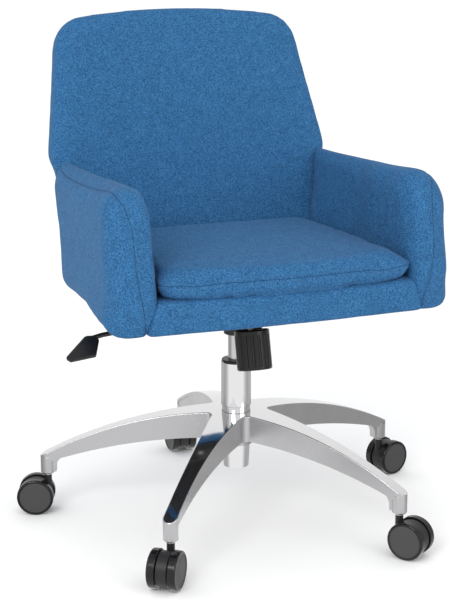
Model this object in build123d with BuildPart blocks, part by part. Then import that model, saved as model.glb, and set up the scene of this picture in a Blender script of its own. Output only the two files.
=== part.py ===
from build123d import *
import os
from math import cos, radians, sin, sqrt, tan

# Swivel office chair: an upholstered shell on a tilt mechanism, a gas lift
# and a five-legged cast base with twin-wheel casters.
# Millimetres. The origin is on the floor under the column, +Z is up and the
# sitter faces -Y.

# --- star base -----------------------------------------------------------
LEG_COUNT = 5
FIRST_LEG_ANGLE = 13.8        # degrees from +X, anticlockwise
LEG_STEP = 360 / LEG_COUNT
LEG_REACH = 322               # column axis to caster stem
LEG_TOP_Z = 187               # crown of the legs at the column axis
LEG_TOP_RADIUS = 695          # the legs' upper sides lie on one big sphere
LEG_BELLY_Z = 141.5           # lower edge of the leg walls at the axis
LEG_BELLY_RADIUS = 1050
LIP_DEPTH = 6                 # polished top strip, which overhangs the walls
LIP_OVERHANG = 1.5
WALL_THICKNESS = 4
HUB_RADIUS = 29
HUB_BOTTOM_Z = 126
POST_RADIUS = 12
POST_BOTTOM_Z = 70
FIN_REACH = 3                 # the post's fin stands this far behind it
FIN_WIDTH = 14
SOCKET_RADIUS = 7.5
SOCKET_DEPTH = 26

# --- gas lift ------------------------------------------------------------
TUBE_RADIUS = 25
TUBE_BOTTOM_Z = 84
TUBE_SHOULDER_Z = 192         # below it the tube is narrower, to fit the hub
TUBE_TOP_Z = 268
TUBE_WALL = 2
NARROW_RADIUS = 23.5
FOOT_RADIUS = 21              # the tube tapers to this below the hub
FLOOR_PLATE_Z = 86            # end plate inside the bottom of the tube
FLOOR_PLATE_THICKNESS = 4
SLEEVE_BOTTOM_Z = 194
SLEEVE_FLANGE = 4
CYLINDER_RADIUS = 14
CYLINDER_BOTTOM_Z = 144
CYLINDER_TOP_Z = 348.5
CYLINDER_WALL = 2
CYLINDER_END = 6              # rod guide that closes the lower end
CHAMBER_TOP_Z = 330
ROD_RADIUS = 5
ROD_BOTTOM_Z = 82
PISTON_Z = 256
PISTON_THICKNESS = 12
BEARING_HEIGHT = 8
CLIP_THICKNESS = 1.5
VALVE_PIN_RADIUS = 3
VALVE_PIN_LENGTH = 17
VALVE_PIN_TOP_Z = 353.5
RUNNING = 0.05                # radial clearance of every running fit
LOOSE = 0.3                   # gap between pieces that only lie side by side

# --- casters -------------------------------------------------------------
CASTER_TRAILS = (16.8, 89.5, 158.7, 230.8, 305.7)   # heading of each, degrees
TRAIL = 21                    # stem axis to wheel axle
WHEEL_RADIUS = 31
WHEEL_WIDTH = 13
WHEEL_EDGE = 3
WHEEL_DISC_RADIUS = 26.5      # sunk outer face
WHEEL_DISC_SINK = 0.8
CASTER_WIDTH = 47
HOOD_RADIUS = 28.5
HOOD_WIDTH = 18
HOOD_WALL = 2.3
HOOD_OPEN_Z = 11.5            # the hood is open below this height
NECK_RADIUS = 6.4
NECK_TOP_Z = 66.5
STEM_RADIUS = 5.5
STEM_BOTTOM_Z = 46
STEM_TOP_Z = 92
STEM_COLLAR_RADIUS = 6.8
AXLE_RADIUS = 4

# --- tilt mechanism ------------------------------------------------------
RECLINE_PIVOT = (0, -34, 354)
PIVOT_PIN_RADIUS = 5
HOUSING_HALF_WIDTH = 42
SHEET = 2.5                   # pressed steel
HOUSING_FLOOR_Z = 346
HOUSING_REAR_Y = 35
HOUSING_BEND_Y = -34
HOUSING_FRONT_Y = -105
BOSS_RADIUS = 21
BOSS_BOTTOM_Z = 316
BOLT_LEAN = 13.5              # the tension bolt leans, its lower end forward
BOLT_FOOT = (0, -81.7, 273.6)  # centre of the knob's lower end
BOLT_RADIUS = 5
KNOB_RADIUS = 29
KNOB_LENGTH = 66
KNOB_WALL = 3.5
KNOB_FLOOR = 9
KNOB_FLUTES = 16
FLUTE_RADIUS = 2.6
SPRING_WIRE_RADIUS = 2.2
SPRING_RADIUS = 16
SPRING_TURNS = 7

# --- lever ---------------------------------------------------------------
LEVER_PIVOT_X = -26
LEVER_PIVOT_Z = 355.5
LEVER_RADIUS = 4
LEVER_ROUTE = ((-8, 356), (-55, 352.5), (-234, 335.7), (-250, 332.5), (-257, 325))
LEVER_BENDS = (60, 30, 9)
TAB_START_X = -10
TAB_END_X = 16
TAB_BOTTOM_Z = 355
TAB_THICKNESS = 3.5
CARRIER_HALF_WIDTH = 12
CARRIER_LENGTH = 22
PADDLE_ORIGIN = (-253, 0, 332)
PADDLE_YAW = -15              # degrees, about Z
PADDLE_SLOPE = 50             # degrees, the blade hangs down and forward
PADDLE_THICKNESS = 8

# --- seat frame ----------------------------------------------------------
PLATE_BOTTOM_Z = 379
PLATE_THICKNESS = 3
PLATE_HALF_WIDTH = 85
PLATE_FRONT_Y = -112
PLATE_REAR_Y = 72
BOLT_SPACING_X = 144
BOLT_FRONT_Y = -98
BOLT_REAR_Y = 58
EAR_INNER = HOUSING_HALF_WIDTH + 4
EAR_REAR_Y = -20
STRAP_Z = 366                 # dropped bridge that the tension bolt hangs from
STRAP_FRONT_Y = -76
STRAP_REAR_Y = -40
COVER_THICKNESS = 1
BOARD_THICKNESS = 12
BOARD_HALF_WIDTH = 185
SEAT_FRAME_LENGTH = 320
SEAT_FRAME_MIDDLE_Y = -45
TEE_FLANGE = 1.2

# --- upholstery ----------------------------------------------------------
BACK_LEAN = 18                # degrees from upright
NOTCH = (250, 186, 588)       # where the top of an arm meets the back's edge
BACK_THICKNESS = 56
BACK_HOLLOW = 12              # the back is this much deeper at its middle
BACK_UP = 268                 # slope length above the notch
BACK_TOP_BOW = 22
BACK_DOWN = 198               # slope length below the notch
BACK_TOP_HALF = 214
BACK_FOOT_HALF = 236
BACK_TOP_ROUNDING = 60
BACK_ROUNDING = 14            # front and rear edges
BACK_REAR_ROUNDING = 24
ARM_TOP_Z = 599
ARM_BROW_Y = -204
ARM_NOSE_Y = -232
ARM_NOSE_Z = 444
ARM_FOOT_Y = -219
ARM_FOOT_Z = 379
ARM_FRONT_OUTER = 285
ARM_REAR_OUTER = 256
ARM_BEND_Y = -20              # behind this the inner faces close in
ARM_CLOSING = 0.11
ARM_ROUNDING = 14             # along the inner edge
ARM_OUTER_ROUNDING = 32
ARM_BROW_ROUNDING = 60
ARM_NOSE_ROUNDING = 60
ARM_FOOT_ROUNDING = 12
ARM_BOARD_INNER = 226
ARM_BOARD_THICKNESS = 10
ARM_BOARD_FRONT_Y = -190
ARM_BOARD_LENGTH = 250
ARM_BOARD_FOOT_Z = 397
ARM_BOARD_TOP_Z = 564
RAIL_HALF_WIDTH = 212.5
RAIL_FRONT_Y = -226
RAIL_TOP_Z = 437
RAIL_FOOT_HALF = 229          # it widens downwards, in a mitre with the arms
RAIL_BOW = 6
CUSHION_FRONT_Y = -224
CUSHION_BOW = 26
CUSHION_TOP_Z = 477


def leg_angles():
    return [FIRST_LEG_ANGLE + LEG_STEP * index for index in range(LEG_COUNT)]


def sphere_height(radius, crown, distance):
    """Height at a distance from the axis of a big sphere with its crown there."""
    return crown - radius + sqrt(radius**2 - distance**2)


def write(piece, label):
    piece.part.label = label
    export_step(piece.part, f"parts/{label}.step")


os.makedirs("parts", exist_ok=True)


# =========================================================================
# Star base: five hollow cast legs round a hub
# =========================================================================
def star_plan(inset):
    """The base from above, with its sides moved in by the inset."""
    with BuildSketch(mode=Mode.PRIVATE) as plan:
        with BuildSketch(mode=Mode.PRIVATE) as leg:
            with BuildLine():
                root = (30, 29.6 - inset)
                waist = (160, 16 - inset)
                tip = (LEG_REACH, POST_RADIUS - inset)
                side = ThreePointArc(root, waist, tip)
                ThreePointArc(tip, (LEG_REACH + POST_RADIUS - inset, 0), (LEG_REACH, inset - POST_RADIUS))
                mirror(side, about=Plane.XZ)
                Line((root[0], -root[1]), (0, 0))
                Line((0, 0), root)
            make_face()
        with PolarLocations(0, LEG_COUNT, start_angle=FIRST_LEG_ANGLE):
            add(leg.sketch)
        Circle(HUB_RADIUS)
        crotches = plan.vertices().filter_by(lambda corner: 44 < Vector(corner).length < 58)
        fillet(crotches, 10 + inset)
    return plan.sketch


def crown_arc(crown_z, radius):
    """Arc in the XZ section of a sphere about the axis, from the bore outwards."""
    near = FOOT_RADIUS
    far = LEG_REACH + 20
    points = [(reach, sphere_height(radius, crown_z, reach)) for reach in (near, far / 2, far)]
    return ThreePointArc(*points)


def leg_band(top_z, low_z, low_radius):
    """Half section between a sphere like the legs' top and a lower one."""
    with BuildSketch(Plane.XZ, mode=Mode.PRIVATE) as band:
        with BuildLine():
            upper = crown_arc(top_z, LEG_TOP_RADIUS)
            lower = crown_arc(low_z, low_radius)
            Line(lower @ 0, upper @ 0)
            Line(upper @ 1, lower @ 1)
        make_face()
    return band.sketch


with BuildPart() as lip:
    with BuildSketch(Plane.XY.offset(LEG_TOP_Z / 4)):
        add(star_plan(0))
    extrude(amount=LEG_TOP_Z)
    add(leg_band(LEG_TOP_Z, LEG_TOP_Z - LIP_DEPTH, LEG_TOP_RADIUS))
    revolve(axis=Axis.Z, mode=Mode.INTERSECT)
    crest = lip.faces().filter_by(GeomType.SPHERE).sort_by(Axis.Z)[-1]
    fillet(crest.outer_wire().edges(), LIP_OVERHANG)

with BuildPart() as walls:
    with BuildSketch(Plane.XY.offset(LEG_TOP_Z / 4)):
        add(star_plan(LIP_OVERHANG))
    extrude(amount=LEG_TOP_Z)
    add(leg_band(LEG_TOP_Z - LIP_DEPTH, LEG_BELLY_Z, LEG_BELLY_RADIUS))
    revolve(axis=Axis.Z, mode=Mode.INTERSECT)

with BuildPart() as leg_hollow:
    with BuildSketch(Plane.XY.offset(LEG_TOP_Z / 4)):
        add(star_plan(LIP_OVERHANG + WALL_THICKNESS))
    extrude(amount=LEG_TOP_Z)
    add(leg_band(LEG_TOP_Z - LIP_DEPTH, LEG_BELLY_Z - LIP_DEPTH, LEG_BELLY_RADIUS))
    revolve(axis=Axis.Z, mode=Mode.INTERSECT)
    Cylinder(HUB_RADIUS + WALL_THICKNESS, 2 * LEG_TOP_Z, mode=Mode.SUBTRACT)
    with PolarLocations(LEG_REACH, LEG_COUNT, start_angle=FIRST_LEG_ANGLE):
        Cylinder(POST_RADIUS + WALL_THICKNESS, 2 * LEG_TOP_Z, mode=Mode.SUBTRACT)

with BuildPart() as post_fin:
    with BuildSketch(Plane.XZ):
        with BuildLine():
            heel = LEG_REACH - POST_RADIUS - FIN_REACH
            arch = heel - 22
            arch_z = sphere_height(LEG_BELLY_RADIUS, LEG_BELLY_Z, arch)
            heel_z = POST_BOTTOM_Z + 10
            sole_z = POST_BOTTOM_Z + 3
            roof_z = sphere_height(LEG_TOP_RADIUS, LEG_TOP_Z - LIP_DEPTH, LEG_REACH)
            TangentArc((heel, heel_z), (arch, arch_z), tangent=(0, 1))
            Polyline(
                (arch, arch_z), (arch, arch_z + LIP_DEPTH), (LEG_REACH, roof_z),
                (LEG_REACH, sole_z), (heel, sole_z), (heel, heel_z),
            )
        make_face()
    extrude(amount=FIN_WIDTH / 2, both=True)

with BuildPart() as star_base:
    add(lip.part)
    add(walls.part)
    add(leg_hollow.part, mode=Mode.SUBTRACT)
    with PolarLocations(0, LEG_COUNT, start_angle=FIRST_LEG_ANGLE):
        add(post_fin.part)
    with BuildSketch(Plane.XY.offset(HUB_BOTTOM_Z)):
        Circle(HUB_RADIUS)
    extrude(amount=LEG_TOP_Z - LIP_DEPTH / 2 - HUB_BOTTOM_Z)
    with BuildSketch(Plane.XY.offset(POST_BOTTOM_Z)):
        with PolarLocations(LEG_REACH, LEG_COUNT, start_angle=FIRST_LEG_ANGLE):
            Circle(POST_RADIUS)
    tip_z = sphere_height(LEG_TOP_RADIUS, LEG_TOP_Z, LEG_REACH + POST_RADIUS)
    extrude(amount=tip_z - LIP_DEPTH / 2 - POST_BOTTOM_Z)
    rims = star_base.edges().filter_by(GeomType.CIRCLE).group_by(Axis.Z)[0]
    chamfer(rims, 1.5)
    # bore for the stand tube, and the caster sockets
    Cylinder(NARROW_RADIUS, 3 * LEG_TOP_Z, mode=Mode.SUBTRACT)
    with BuildSketch(Plane.XY.offset(POST_BOTTOM_Z)):
        with PolarLocations(LEG_REACH, LEG_COUNT, start_angle=FIRST_LEG_ANGLE):
            Circle(SOCKET_RADIUS)
    extrude(amount=SOCKET_DEPTH, mode=Mode.SUBTRACT)

write(star_base, "star_base")

# plastic sockets pressed into the posts
with BuildPart() as caster_sockets:
    with BuildSketch(Plane.XY.offset(POST_BOTTOM_Z)):
        with PolarLocations(LEG_REACH, LEG_COUNT, start_angle=FIRST_LEG_ANGLE):
            Circle(SOCKET_RADIUS)
    extrude(amount=SOCKET_DEPTH)
    with BuildSketch(Plane.XY.offset(POST_BOTTOM_Z)):
        with PolarLocations(LEG_REACH, LEG_COUNT, start_angle=FIRST_LEG_ANGLE):
            Circle(STEM_RADIUS)
    extrude(amount=STEM_TOP_Z - POST_BOTTOM_Z, mode=Mode.SUBTRACT)

write(caster_sockets, "caster_sockets")


# =========================================================================
# Gas lift
# =========================================================================
def ring(inner, outer, low_z, high_z):
    """A plain tube or washer about the column axis."""
    with BuildPart() as tube:
        with BuildSketch(Plane.XY.offset(low_z)):
            Circle(outer)
            Circle(inner, mode=Mode.SUBTRACT)
        extrude(amount=high_z - low_z)
    return tube


end_plate_top_z = FLOOR_PLATE_Z + FLOOR_PLATE_THICKNESS
bearing_top_z = end_plate_top_z + BEARING_HEIGHT

with BuildPart() as stand_tube:
    with BuildSketch(Plane.XZ):
        with BuildLine():
            Polyline(
                (ROD_RADIUS + RUNNING, FLOOR_PLATE_Z),
                (FOOT_RADIUS - TUBE_WALL, FLOOR_PLATE_Z),
                (FOOT_RADIUS - TUBE_WALL, TUBE_BOTTOM_Z),
                (FOOT_RADIUS, TUBE_BOTTOM_Z),
                (NARROW_RADIUS, HUB_BOTTOM_Z - 2),
                (NARROW_RADIUS, TUBE_SHOULDER_Z),
                (TUBE_RADIUS, TUBE_SHOULDER_Z),
                (TUBE_RADIUS, TUBE_TOP_Z),
                (TUBE_RADIUS - TUBE_WALL, TUBE_TOP_Z),
                (TUBE_RADIUS - TUBE_WALL, SLEEVE_BOTTOM_Z),
                (NARROW_RADIUS - TUBE_WALL, SLEEVE_BOTTOM_Z),
                (FOOT_RADIUS - TUBE_WALL, end_plate_top_z),
                (ROD_RADIUS + RUNNING, end_plate_top_z),
                close=True,
            )
        make_face()
    revolve(axis=Axis.Z)
    rims = stand_tube.edges().filter_by(GeomType.CIRCLE)
    chamfer(rims.filter_by(lambda rim: abs(rim.radius - TUBE_RADIUS) < 0.01), 0.5)

write(stand_tube, "stand_tube")

with BuildPart() as guide_sleeve:
    add(ring(CYLINDER_RADIUS + RUNNING, TUBE_RADIUS - TUBE_WALL, SLEEVE_BOTTOM_Z, TUBE_TOP_Z).part)
    add(ring(CYLINDER_RADIUS + RUNNING, TUBE_RADIUS - 0.6, TUBE_TOP_Z, TUBE_TOP_Z + SLEEVE_FLANGE).part)
    top_rims = guide_sleeve.edges().filter_by(GeomType.CIRCLE).group_by(Axis.Z)[-1]
    flange_rim = top_rims.sort_by(SortBy.RADIUS)[-1]
    fillet(flange_rim, 1.5)

write(guide_sleeve, "guide_sleeve")

thrust_bearing = ring(ROD_RADIUS + RUNNING, FOOT_RADIUS - TUBE_WALL - 1, end_plate_top_z, bearing_top_z)
write(thrust_bearing, "thrust_bearing")

# spring clip under the end plate: a ring with a gap
with BuildPart() as retaining_clip:
    with BuildSketch(Plane.XY.offset(FLOOR_PLATE_Z - CLIP_THICKNESS)):
        Circle(12)
        Circle(ROD_RADIUS + RUNNING, mode=Mode.SUBTRACT)
        with Locations((0, -8)):
            Rectangle(ROD_RADIUS, 12, mode=Mode.SUBTRACT)
    extrude(amount=CLIP_THICKNESS)

write(retaining_clip, "retaining_clip")

with BuildPart() as piston_rod:
    with BuildSketch(Plane.XZ):
        with BuildLine():
            Polyline(
                (0, ROD_BOTTOM_Z), (ROD_RADIUS, ROD_BOTTOM_Z), (ROD_RADIUS, bearing_top_z + LOOSE),
                (2 * ROD_RADIUS, bearing_top_z + LOOSE), (2 * ROD_RADIUS, bearing_top_z + 4),
                (ROD_RADIUS, bearing_top_z + 4), (ROD_RADIUS, PISTON_Z),
                (CYLINDER_RADIUS - CYLINDER_WALL - RUNNING, PISTON_Z),
                (CYLINDER_RADIUS - CYLINDER_WALL - RUNNING, PISTON_Z + PISTON_THICKNESS),
                (0, PISTON_Z + PISTON_THICKNESS), close=True,
            )
        make_face()
    revolve(axis=Axis.Z)

write(piston_rod, "piston_rod")

with BuildPart() as gas_cylinder:
    with BuildSketch(Plane.XZ):
        with BuildLine():
            chamber_radius = CYLINDER_RADIUS - CYLINDER_WALL
            Polyline(
                (ROD_RADIUS + RUNNING, CYLINDER_BOTTOM_Z), (CYLINDER_RADIUS - 1, CYLINDER_BOTTOM_Z),
                (CYLINDER_RADIUS, CYLINDER_BOTTOM_Z + 1), (CYLINDER_RADIUS, CYLINDER_TOP_Z),
                (VALVE_PIN_RADIUS + RUNNING, CYLINDER_TOP_Z), (VALVE_PIN_RADIUS + RUNNING, CHAMBER_TOP_Z),
                (chamber_radius, CHAMBER_TOP_Z), (chamber_radius, CYLINDER_BOTTOM_Z + CYLINDER_END),
                (ROD_RADIUS + RUNNING, CYLINDER_BOTTOM_Z + CYLINDER_END), close=True,
            )
        make_face()
    revolve(axis=Axis.Z)

write(gas_cylinder, "gas_cylinder")

with BuildPart() as valve_pin:
    with BuildSketch(Plane.XY.offset(VALVE_PIN_TOP_Z - VALVE_PIN_LENGTH)):
        Circle(VALVE_PIN_RADIUS)
    extrude(amount=VALVE_PIN_LENGTH)
    fillet(valve_pin.edges().group_by(Axis.Z)[-1], 0.8)

write(valve_pin, "valve_pin")


# =========================================================================
# Casters: a hooded body that swivels on a stem, and two wheels on one axle
# =========================================================================
def caster_body():
    """The hood, with +X as the trailing direction and the stem axis at the origin."""
    with BuildPart() as body:
        with BuildSketch(Plane.XZ):
            with Locations((TRAIL, WHEEL_RADIUS)):
                Circle(HOOD_RADIUS)
            with Locations((TRAIL, HOOD_OPEN_Z - HOOD_RADIUS)):
                Rectangle(3 * HOOD_RADIUS, 2 * HOOD_RADIUS, mode=Mode.SUBTRACT)
        extrude(amount=HOOD_WIDTH / 2, both=True)
        rims = body.edges().filter_by(GeomType.CIRCLE)
        chamfer(rims, 0.8)
        with BuildSketch(Plane.XZ):
            with Locations((TRAIL, WHEEL_RADIUS)):
                Circle(HOOD_RADIUS - HOOD_WALL)
                Circle(2 * AXLE_RADIUS, mode=Mode.SUBTRACT)
            with Locations((0, WHEEL_RADIUS)):
                Rectangle(2 * NECK_RADIUS + 2 * HOOD_WALL, 4 * WHEEL_RADIUS, mode=Mode.SUBTRACT)
            with Locations((TRAIL / 2, WHEEL_RADIUS)):
                Rectangle(TRAIL, 2 * HOOD_WALL, mode=Mode.SUBTRACT)
        extrude(amount=HOOD_WIDTH / 2 - HOOD_WALL, both=True, mode=Mode.SUBTRACT)
        with BuildSketch(Plane.XY.offset(WHEEL_RADIUS)):
            Circle(NECK_RADIUS)
        extrude(amount=NECK_TOP_Z - WHEEL_RADIUS)
        with BuildSketch(Plane.XY.offset(STEM_BOTTOM_Z - 1)):
            Circle(STEM_RADIUS + RUNNING)
        extrude(amount=WHEEL_RADIUS, mode=Mode.SUBTRACT)
        with BuildSketch(Plane.XZ):
            with Locations((TRAIL, WHEEL_RADIUS)):
                Circle(AXLE_RADIUS)
        extrude(amount=HOOD_WIDTH, both=True, mode=Mode.SUBTRACT)
    return body.part


def caster_stem():
    with BuildPart() as stem:
        with BuildSketch(Plane.XY.offset(STEM_BOTTOM_Z)):
            Circle(STEM_RADIUS)
        extrude(amount=STEM_TOP_Z - STEM_BOTTOM_Z)
        chamfer(stem.edges().group_by(Axis.Z)[-1], 1)
        with BuildSketch(Plane.XY.offset(NECK_TOP_Z + LOOSE)):
            Circle(STEM_COLLAR_RADIUS)
        extrude(amount=POST_BOTTOM_Z - NECK_TOP_Z - LOOSE)
    return stem.part


def caster_axle():
    with BuildPart() as axle:
        with BuildSketch(Plane.XZ):
            with Locations((TRAIL, WHEEL_RADIUS)):
                Circle(AXLE_RADIUS)
        extrude(amount=CASTER_WIDTH / 2 - 4, both=True)
    return axle.part


def caster_wheel(side):
    """One wheel, on the side -1 or +1 of the hood."""
    outer_face = CASTER_WIDTH / 2
    inner_face = outer_face - WHEEL_WIDTH
    with BuildPart() as wheel:
        with BuildSketch(Plane.YZ.offset(TRAIL)):
            with BuildLine():
                Polyline(
                    (inner_face, WHEEL_RADIUS + AXLE_RADIUS + RUNNING),
                    (inner_face, WHEEL_RADIUS + 2 * AXLE_RADIUS),
                    (inner_face + 4, WHEEL_RADIUS + 2 * AXLE_RADIUS),
                    (inner_face + 4, WHEEL_RADIUS + WHEEL_DISC_RADIUS),
                    (inner_face, WHEEL_RADIUS + WHEEL_DISC_RADIUS),
                    (inner_face, 2 * WHEEL_RADIUS - 1),
                    (inner_face + 1, 2 * WHEEL_RADIUS),
                    (outer_face - WHEEL_EDGE, 2 * WHEEL_RADIUS),
                )
                RadiusArc(
                    (outer_face - WHEEL_EDGE, 2 * WHEEL_RADIUS),
                    (outer_face, 2 * WHEEL_RADIUS - WHEEL_EDGE),
                    WHEEL_EDGE,
                )
                Polyline(
                    (outer_face, 2 * WHEEL_RADIUS - WHEEL_EDGE),
                    (outer_face, WHEEL_RADIUS + WHEEL_DISC_RADIUS),
                    (outer_face - WHEEL_DISC_SINK, WHEEL_RADIUS + WHEEL_DISC_RADIUS),
                    (outer_face - WHEEL_DISC_SINK, WHEEL_RADIUS),
                    (outer_face - 3, WHEEL_RADIUS),
                    (outer_face - 3, WHEEL_RADIUS + AXLE_RADIUS + RUNNING),
                    (inner_face, WHEEL_RADIUS + AXLE_RADIUS + RUNNING),
                )
            make_face()
        revolve(axis=Axis((TRAIL, 0, WHEEL_RADIUS), (0, 1, 0)))
    wheel_part = wheel.part
    return wheel_part if side > 0 else wheel_part.mirror(Plane.XZ)


caster_pieces = {
    "stem": caster_stem(),
    "body": caster_body(),
    "axle": caster_axle(),
    "wheel_left": caster_wheel(1),
    "wheel_right": caster_wheel(-1),
}

for number, (leg_angle, heading) in enumerate(zip(leg_angles(), CASTER_TRAILS), start=1):
    leg_tip = Pos(LEG_REACH * cos(radians(leg_angle)), LEG_REACH * sin(radians(leg_angle)), 0)
    for name, piece in caster_pieces.items():
        with BuildPart() as placed:
            with Locations(leg_tip * Rot(0, 0, heading)):
                add(piece)
        write(placed, f"caster_{number}_{name}")

# =========================================================================
# Tilt mechanism
# =========================================================================
bolt_plane = Plane(
    origin=BOLT_FOOT,
    x_dir=(1, 0, 0),
    z_dir=(0, sin(radians(BOLT_LEAN)), cos(radians(BOLT_LEAN))),
)


def height_on_bolt(height):
    """Distance along the leaning bolt to a height above the floor."""
    return (height - BOLT_FOOT[2]) / cos(radians(BOLT_LEAN))


# the housing's nose is square to the bolt, this far along it
floor_on_bolt = (HOUSING_BEND_Y - BOLT_FOOT[1]) * sin(radians(BOLT_LEAN)) + (
    HOUSING_FLOOR_Z - BOLT_FOOT[2]
) * cos(radians(BOLT_LEAN))
nose_rise = (HOUSING_BEND_Y - HOUSING_FRONT_Y) * tan(radians(BOLT_LEAN))
cheek_top_z = HOUSING_FLOOR_Z + 18


def housing_side(floor_lift):
    """Side view of the housing above its floor, with the floor raised."""
    with BuildSketch(Plane.YZ, mode=Mode.PRIVATE) as side:
        with BuildLine():
            Polyline(
                (HOUSING_REAR_Y, HOUSING_FLOOR_Z + floor_lift),
                (HOUSING_BEND_Y, HOUSING_FLOOR_Z + floor_lift),
                (HOUSING_FRONT_Y, HOUSING_FLOOR_Z + nose_rise + floor_lift),
                (HOUSING_FRONT_Y, cheek_top_z + 2),
                (RECLINE_PIVOT[1] + 14, cheek_top_z + 2),
                (HOUSING_REAR_Y, HOUSING_FLOOR_Z + 8),
                close=True,
            )
        make_face()
    return side.sketch


with BuildPart() as tilt_housing:
    extrude(housing_side(0), amount=HOUSING_HALF_WIDTH, both=True)
    extrude(housing_side(SHEET), amount=HOUSING_HALF_WIDTH - SHEET, both=True, mode=Mode.SUBTRACT)
    with BuildSketch(Plane.XY.offset(BOSS_BOTTOM_Z)):
        Circle(BOSS_RADIUS)
    extrude(amount=HOUSING_FLOOR_Z + SHEET - BOSS_BOTTOM_Z)
    fillet(tilt_housing.edges().filter_by(GeomType.CIRCLE).group_by(Axis.Z)[0], 1.5)
    Cylinder(CYLINDER_RADIUS, 3 * HOUSING_FLOOR_Z, mode=Mode.SUBTRACT)
    with BuildSketch(bolt_plane):
        Circle(BOLT_RADIUS + 1)
    extrude(amount=2 * KNOB_LENGTH, mode=Mode.SUBTRACT)
    with BuildSketch(Plane.YZ):
        with Locations(RECLINE_PIVOT[1:]):
            Circle(PIVOT_PIN_RADIUS)
    extrude(amount=2 * HOUSING_HALF_WIDTH, both=True, mode=Mode.SUBTRACT)
    # window in the left cheek for the lever and its carrier
    with BuildSketch(Plane.YZ):
        with Locations((0, HOUSING_FLOOR_Z + SHEET + 20)):
            Rectangle(2 * CARRIER_HALF_WIDTH + 2, 40)
    extrude(amount=-2 * HOUSING_HALF_WIDTH, mode=Mode.SUBTRACT)

write(tilt_housing, "tilt_housing")

with BuildPart() as pivot_pin:
    pin_half = HOUSING_HALF_WIDTH + 12
    with BuildSketch(Plane.YZ):
        with Locations(RECLINE_PIVOT[1:]):
            Circle(PIVOT_PIN_RADIUS)
    extrude(amount=pin_half, both=True)
    chamfer(pivot_pin.edges().filter_by(GeomType.CIRCLE), 0.8)

write(pivot_pin, "pivot_pin")

with BuildPart() as tension_bolt:
    with BuildSketch(bolt_plane.offset(KNOB_FLOOR / 2)):
        Circle(BOLT_RADIUS)
    extrude(amount=height_on_bolt(STRAP_Z + SHEET + 1.5) - KNOB_FLOOR / 2)
    with BuildSketch(bolt_plane.offset(height_on_bolt(STRAP_Z + SHEET + 1.5))):
        RegularPolygon(9, 6)
    extrude(amount=5)

write(tension_bolt, "tension_bolt")

with BuildPart() as tension_knob:
    with BuildSketch(bolt_plane):
        Circle(KNOB_RADIUS)
    extrude(amount=KNOB_LENGTH)
    fillet(tension_knob.edges().filter_by(GeomType.CIRCLE), 3)
    with BuildSketch(bolt_plane.offset(5)):
        with PolarLocations(KNOB_RADIUS + 0.8, KNOB_FLUTES):
            Circle(FLUTE_RADIUS)
    extrude(amount=KNOB_LENGTH - 14, mode=Mode.SUBTRACT)
    with BuildSketch(bolt_plane.offset(KNOB_FLOOR)):
        Circle(KNOB_RADIUS - KNOB_WALL)
    extrude(amount=KNOB_LENGTH, mode=Mode.SUBTRACT)
    with BuildSketch(bolt_plane.offset(KNOB_FLOOR / 2)):
        Circle(BOLT_RADIUS + RUNNING)
    extrude(amount=KNOB_LENGTH, mode=Mode.SUBTRACT)

write(tension_knob, "tension_knob")

spring_low = KNOB_FLOOR + SPRING_WIRE_RADIUS + LOOSE
spring_high = floor_on_bolt - SPRING_WIRE_RADIUS - LOOSE

with BuildPart() as tension_spring:
    with BuildLine():
        coil = Helix(
            (spring_high - spring_low) / SPRING_TURNS, spring_high - spring_low, SPRING_RADIUS,
            center=bolt_plane.offset(spring_low).origin, direction=bolt_plane.z_dir,
        )
    with BuildSketch(Plane(origin=coil @ 0, z_dir=coil % 0)):
        Circle(SPRING_WIRE_RADIUS)
    sweep(path=coil, is_frenet=True)

write(tension_spring, "tension_spring")

with BuildPart() as lever_carrier:
    floor_z = HOUSING_FLOOR_Z + SHEET + LOOSE
    with BuildSketch(Plane.XY.offset(floor_z)):
        with Locations((LEVER_PIVOT_X, 0)):
            Rectangle(CARRIER_LENGTH, 2 * CARRIER_HALF_WIDTH)
    extrude(amount=LEVER_PIVOT_Z + 4 - floor_z)
    with BuildSketch(Plane.YZ.offset(LEVER_PIVOT_X)):
        with Locations((0, floor_z + 1 + LEVER_PIVOT_Z / 2)):
            Rectangle(2 * LEVER_RADIUS + 1, LEVER_PIVOT_Z)
    extrude(amount=CARRIER_LENGTH, both=True, mode=Mode.SUBTRACT)
    with BuildSketch(Plane.XZ):
        with Locations((LEVER_PIVOT_X, LEVER_PIVOT_Z)):
            Circle(1.5)
    extrude(amount=CARRIER_HALF_WIDTH, both=True)

write(lever_carrier, "lever_carrier")

with BuildPart() as lever_rod:
    with BuildLine(Plane.XZ) as lever_line:
        FilletPolyline(*LEVER_ROUTE, radius=LEVER_BENDS)
    with BuildSketch(Plane(origin=lever_line.line @ 0, z_dir=lever_line.line % 0)):
        Circle(LEVER_RADIUS)
    sweep(path=lever_line.line)
    with BuildSketch(Plane.XY.offset(TAB_BOTTOM_Z)):
        with Locations((TAB_START_X, 0)):
            Rectangle(TAB_END_X - TAB_START_X, 2 * LEVER_RADIUS - 1, align=(Align.MIN, Align.CENTER))
    extrude(amount=TAB_THICKNESS)
    with BuildSketch(Plane.XZ):
        with Locations((LEVER_PIVOT_X, LEVER_PIVOT_Z)):
            Circle(1.5 + RUNNING)
    extrude(amount=CARRIER_HALF_WIDTH, both=True, mode=Mode.SUBTRACT)

write(lever_rod, "lever_rod")

# fan-shaped paddle on the end of the rod, hanging down and forward
yaw = radians(PADDLE_YAW)
slope = radians(PADDLE_SLOPE)
paddle_plane = Plane(
    origin=PADDLE_ORIGIN,
    x_dir=(cos(yaw), sin(yaw), 0),
    z_dir=(sin(slope) * sin(yaw), -sin(slope) * cos(yaw), cos(slope)),
)

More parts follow.
